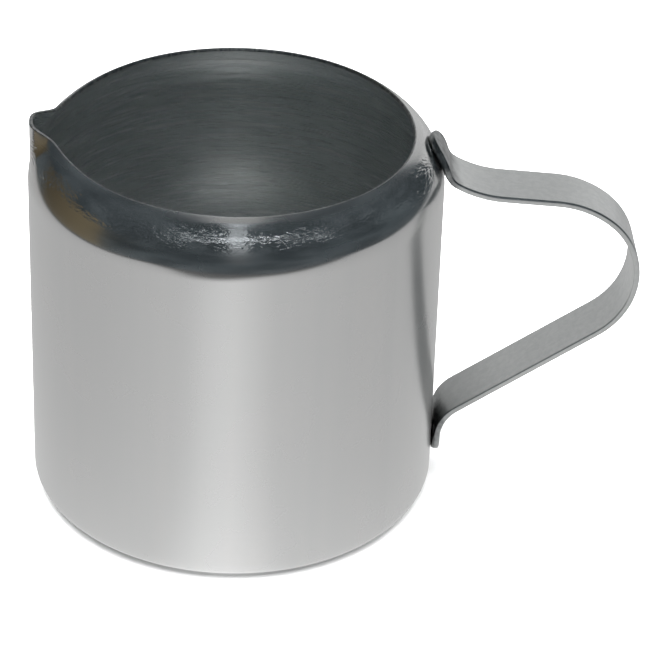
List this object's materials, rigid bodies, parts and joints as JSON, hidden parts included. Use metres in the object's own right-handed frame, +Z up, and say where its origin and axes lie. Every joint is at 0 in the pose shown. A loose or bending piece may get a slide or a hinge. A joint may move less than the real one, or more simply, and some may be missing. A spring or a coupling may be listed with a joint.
{
  "type": "candle melting pot",
  "caption": "Small round stainless steel pouring jug with an inward-curving shoulder, a pressed spout and a flat strap handle, for melting and pouring candle wax.",
  "frame": {"origin": "centre of the flat base, on the surface that the jug stands on", "axes": "+Z up out of the mouth, +X from the body's axis towards the handle, -X towards the spout; the XZ plane is the plane of symmetry"},
  "size_m": [0.1113, 0.075, 0.074],
  "materials": {
    "jug_steel": "polished satin outside, fine circumferential brush lines inside",
    "strap_steel": "satin, brushed along the strap",
    "weld_steel": "dull, slightly heat-tinted weld metal"
  },
  "bodies": {
    "root": {"jug_body": "jug_steel", "strap_handle": "strap_steel", "spot_weld_upper_left": "weld_steel", "spot_weld_upper_right": "weld_steel", "spot_weld_lower_left": "weld_steel", "spot_weld_lower_right": "weld_steel"}
  },
  "joints": []
}
